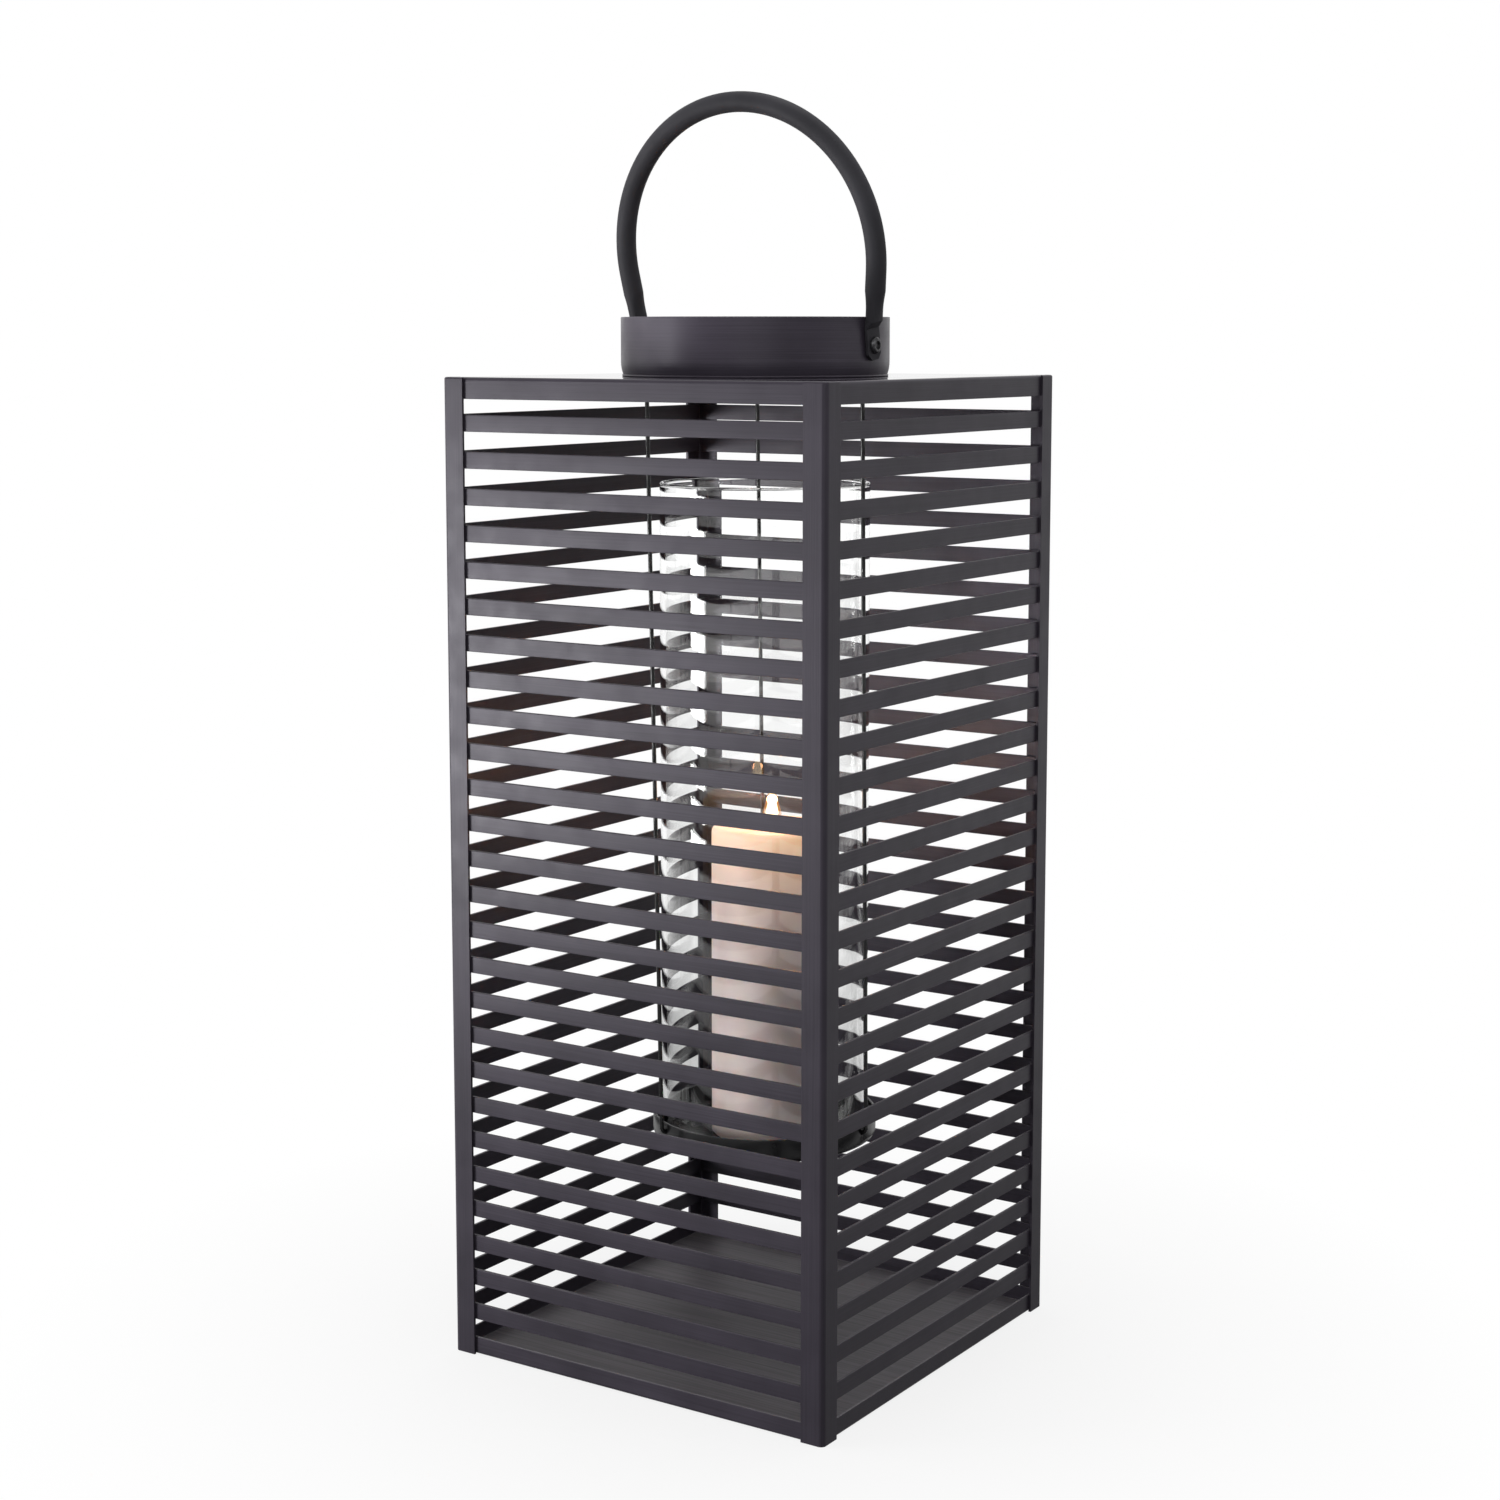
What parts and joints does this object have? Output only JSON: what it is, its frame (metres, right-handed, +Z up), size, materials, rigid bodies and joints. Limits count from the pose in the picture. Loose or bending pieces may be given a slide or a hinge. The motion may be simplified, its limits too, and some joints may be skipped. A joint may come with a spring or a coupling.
{
  "type": "candle lantern",
  "caption": "Tall square slatted metal lantern with a round collar, a folding bail handle and a pillar candle in a glass cylinder on a hanging tray.",
  "frame": {"origin": "middle of the base, on the surface it stands on", "axes": "+Z up; the front face looks along -Y and the handle's pivots lie along X"},
  "size_m": [0.25, 0.25, 0.7161],
  "materials": {
    "charcoal_paint": "matte powder coat",
    "black_paint": "satin black",
    "dark_steel": "satin dark",
    "clear_glass": "clear polished",
    "cream_wax": "smooth translucent wax",
    "burnt_cotton": "charred cotton"
  },
  "bodies": {
    "frame": {"corner_post_front_left": "charcoal_paint", "corner_post_front_right": "charcoal_paint", "corner_post_back_right": "charcoal_paint", "corner_post_back_left": "charcoal_paint", "slats_front": "charcoal_paint", "slats_right": "charcoal_paint", "slats_back": "charcoal_paint", "slats_left": "charcoal_paint", "top_plate": "charcoal_paint", "base_pan": "charcoal_paint", "collar": "charcoal_paint", "pivot_rivets": "dark_steel"},
    "handle": {"handle": "black_paint"},
    "hanger": {"hanger_rod_right": "black_paint", "hanger_rod_back": "black_paint", "hanger_rod_front": "black_paint", "candle_tray": "black_paint"},
    "glass": {"glass_cylinder": "clear_glass"},
    "candle": {"candle": "cream_wax", "wick": "burnt_cotton"}
  },
  "joints": [
    {"name": "handle_fold", "type": "hinge", "parent": "frame", "child": "handle", "pos_m": [0, 0, 0.5769], "axis": [1, 0, 0], "range_deg": [-103.9, 86.5]},
    {"name": "tray_lift", "type": "slide", "parent": "frame", "child": "hanger", "axis": [-0.0107, -0.007, 0.9999], "range_m": [0, 0.09]},
    {"name": "glass_lift", "type": "slide", "parent": "hanger", "child": "glass", "axis": [0, 0, 1], "range_m": [0, 0.075]},
    {"name": "candle_lift", "type": "slide", "parent": "hanger", "child": "candle", "axis": [0, 0, 1], "range_m": [0, 0.28]}
  ]
}
